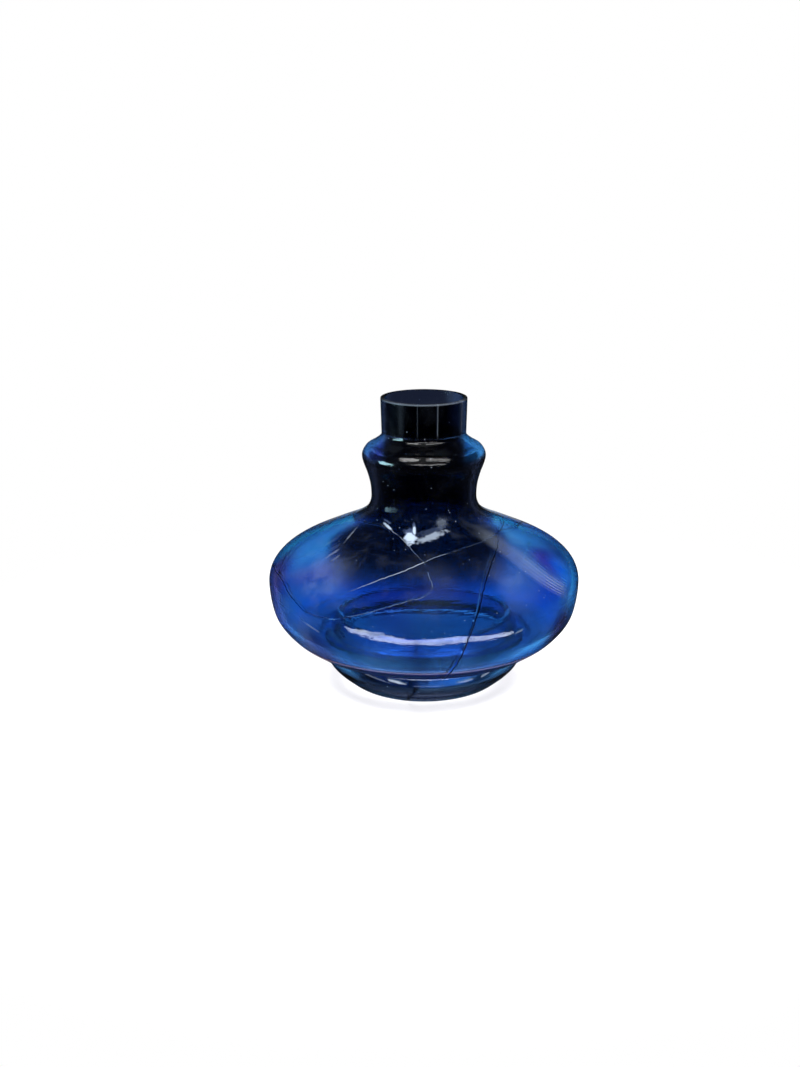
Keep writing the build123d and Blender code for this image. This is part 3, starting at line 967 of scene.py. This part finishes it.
def lightStrip(pieces):
    course = np.array(stripLook["course"], float)
    ways = np.gradient(course[:, :3], axis=0)
    corners, faces = [], []
    for index, (point, way) in enumerate(zip(course, ways)):
        out = Vector((point[0], point[1], 0)).normalized()
        side = Vector(way).cross(out).normalized() * point[3] / 2
        corners += [(Vector(point[:3]) + side) * mm, (Vector(point[:3]) - side) * mm]
        if index:
            faces.append((2 * index - 2, 2 * index - 1, 2 * index + 1, 2 * index))
    mesh = bpy.data.meshes.new("bentStrip")
    mesh.from_pydata(corners, [], faces)
    # A diffuser with light behind it: the glass mirrors a soft band that is brighter in some places.
    material = bpy.data.materials.new("lightStrip")
    add = emptied(material)
    spot = add("ShaderNodeTexCoord").outputs["Object"]
    uneven = add("noise", spot, stripLook["unevenScale"], stripLook["unevenDetail"])
    strength = add("ramp", uneven, *stripLook["unevenBand"],
                    stripLook["dimmed"] * stripLook["strength"], stripLook["strength"])
    add("ShaderNodeOutputMaterial", add("ShaderNodeEmission", stripLook["colour"], strength))
    mesh.materials.append(material)
    strip = addObject("bentStrip", mesh)
    onlySeenBy(strip, pieces)
    strip.visible_camera = strip.visible_diffuse = strip.visible_transmission = strip.visible_shadow = False


def studioFloor():
    bpy.ops.mesh.primitive_circle_add(
        vertices=floorLook["corners"], radius=floorLook["radius"], fill_type="NGON")
    floor = bpy.context.object
    floor.name = "floor"
    # Matt white paint: it takes a faint shadow, and toward its edge it is lost in the white behind it.
    material = bpy.data.materials.new("paintedStudioFloor")
    add = emptied(material)
    spot = add("ShaderNodeTexCoord").outputs["Object"]
    fade = add("ramp", add("length", spot), *floorLook["fade"])
    ray = add("ShaderNodeLightPath").outputs
    mirrored = add("minus", ray["Is Glossy Ray"], ray["Is Transmission Ray"])
    colour = add("blend", mirrored, floorLook["colour"], floorLook["mirrored"])
    paint = add("ShaderNodeBsdfDiffuse", colour)
    add("ShaderNodeOutputMaterial", add("blendShaders", fade, paint, add("clear", "#FFFFFF")))
    floor.data.materials.append(material)


def studioWorld():
    world = bpy.data.worlds.new("studio")
    add = emptied(world)
    way = add("axes", add("ShaderNodeTexCoord").outputs["Generated"]).outputs["Y"]
    walls = add("ramp", way, *roomLook["frontToBack"], roomLook["front"], roomLook["back"])
    backdrop = add("ramp", way, *roomLook["horizonFrom"], 0.0, roomLook["horizon"])
    room = add("ShaderNodeBackground", "#FFFFFF", add("plus", walls, backdrop))
    white = add("ShaderNodeBackground", "#FFFFFF")
    ray = add("ShaderNodeLightPath").outputs
    through = add("larger", ray["Is Camera Ray"], ray["Is Transmission Ray"])
    add("ShaderNodeOutputWorld", add("blendShaders", through, room, white))
    bpy.context.scene.world = world


studioFloor()
studioWorld()
neck = [bpy.data.objects["neck_sherd_fine"]]
rest = [thing for thing in bpy.data.objects if thing.name.endswith("_fine") and thing not in neck]
areaLamp("overhead", overheadLamp)
for name, look in neckLamps.items():
    areaLamp(name, look, only=neck)
lightStrip(rest)

camera = bpy.data.cameras.new("camera")
camera.lens = view["lens"]
camera.shift_x = view["shift"]
viewer = addObject("camera", camera)
viewer.location = view["place"]
viewer.rotation_euler = (math.radians(90 - view["down"]), 0, 0)
bpy.context.scene.camera = viewer
bpy.context.scene.view_settings.view_transform = "Standard"
print("studio lit:", 1 + len(neckLamps), "lamps and a light strip")
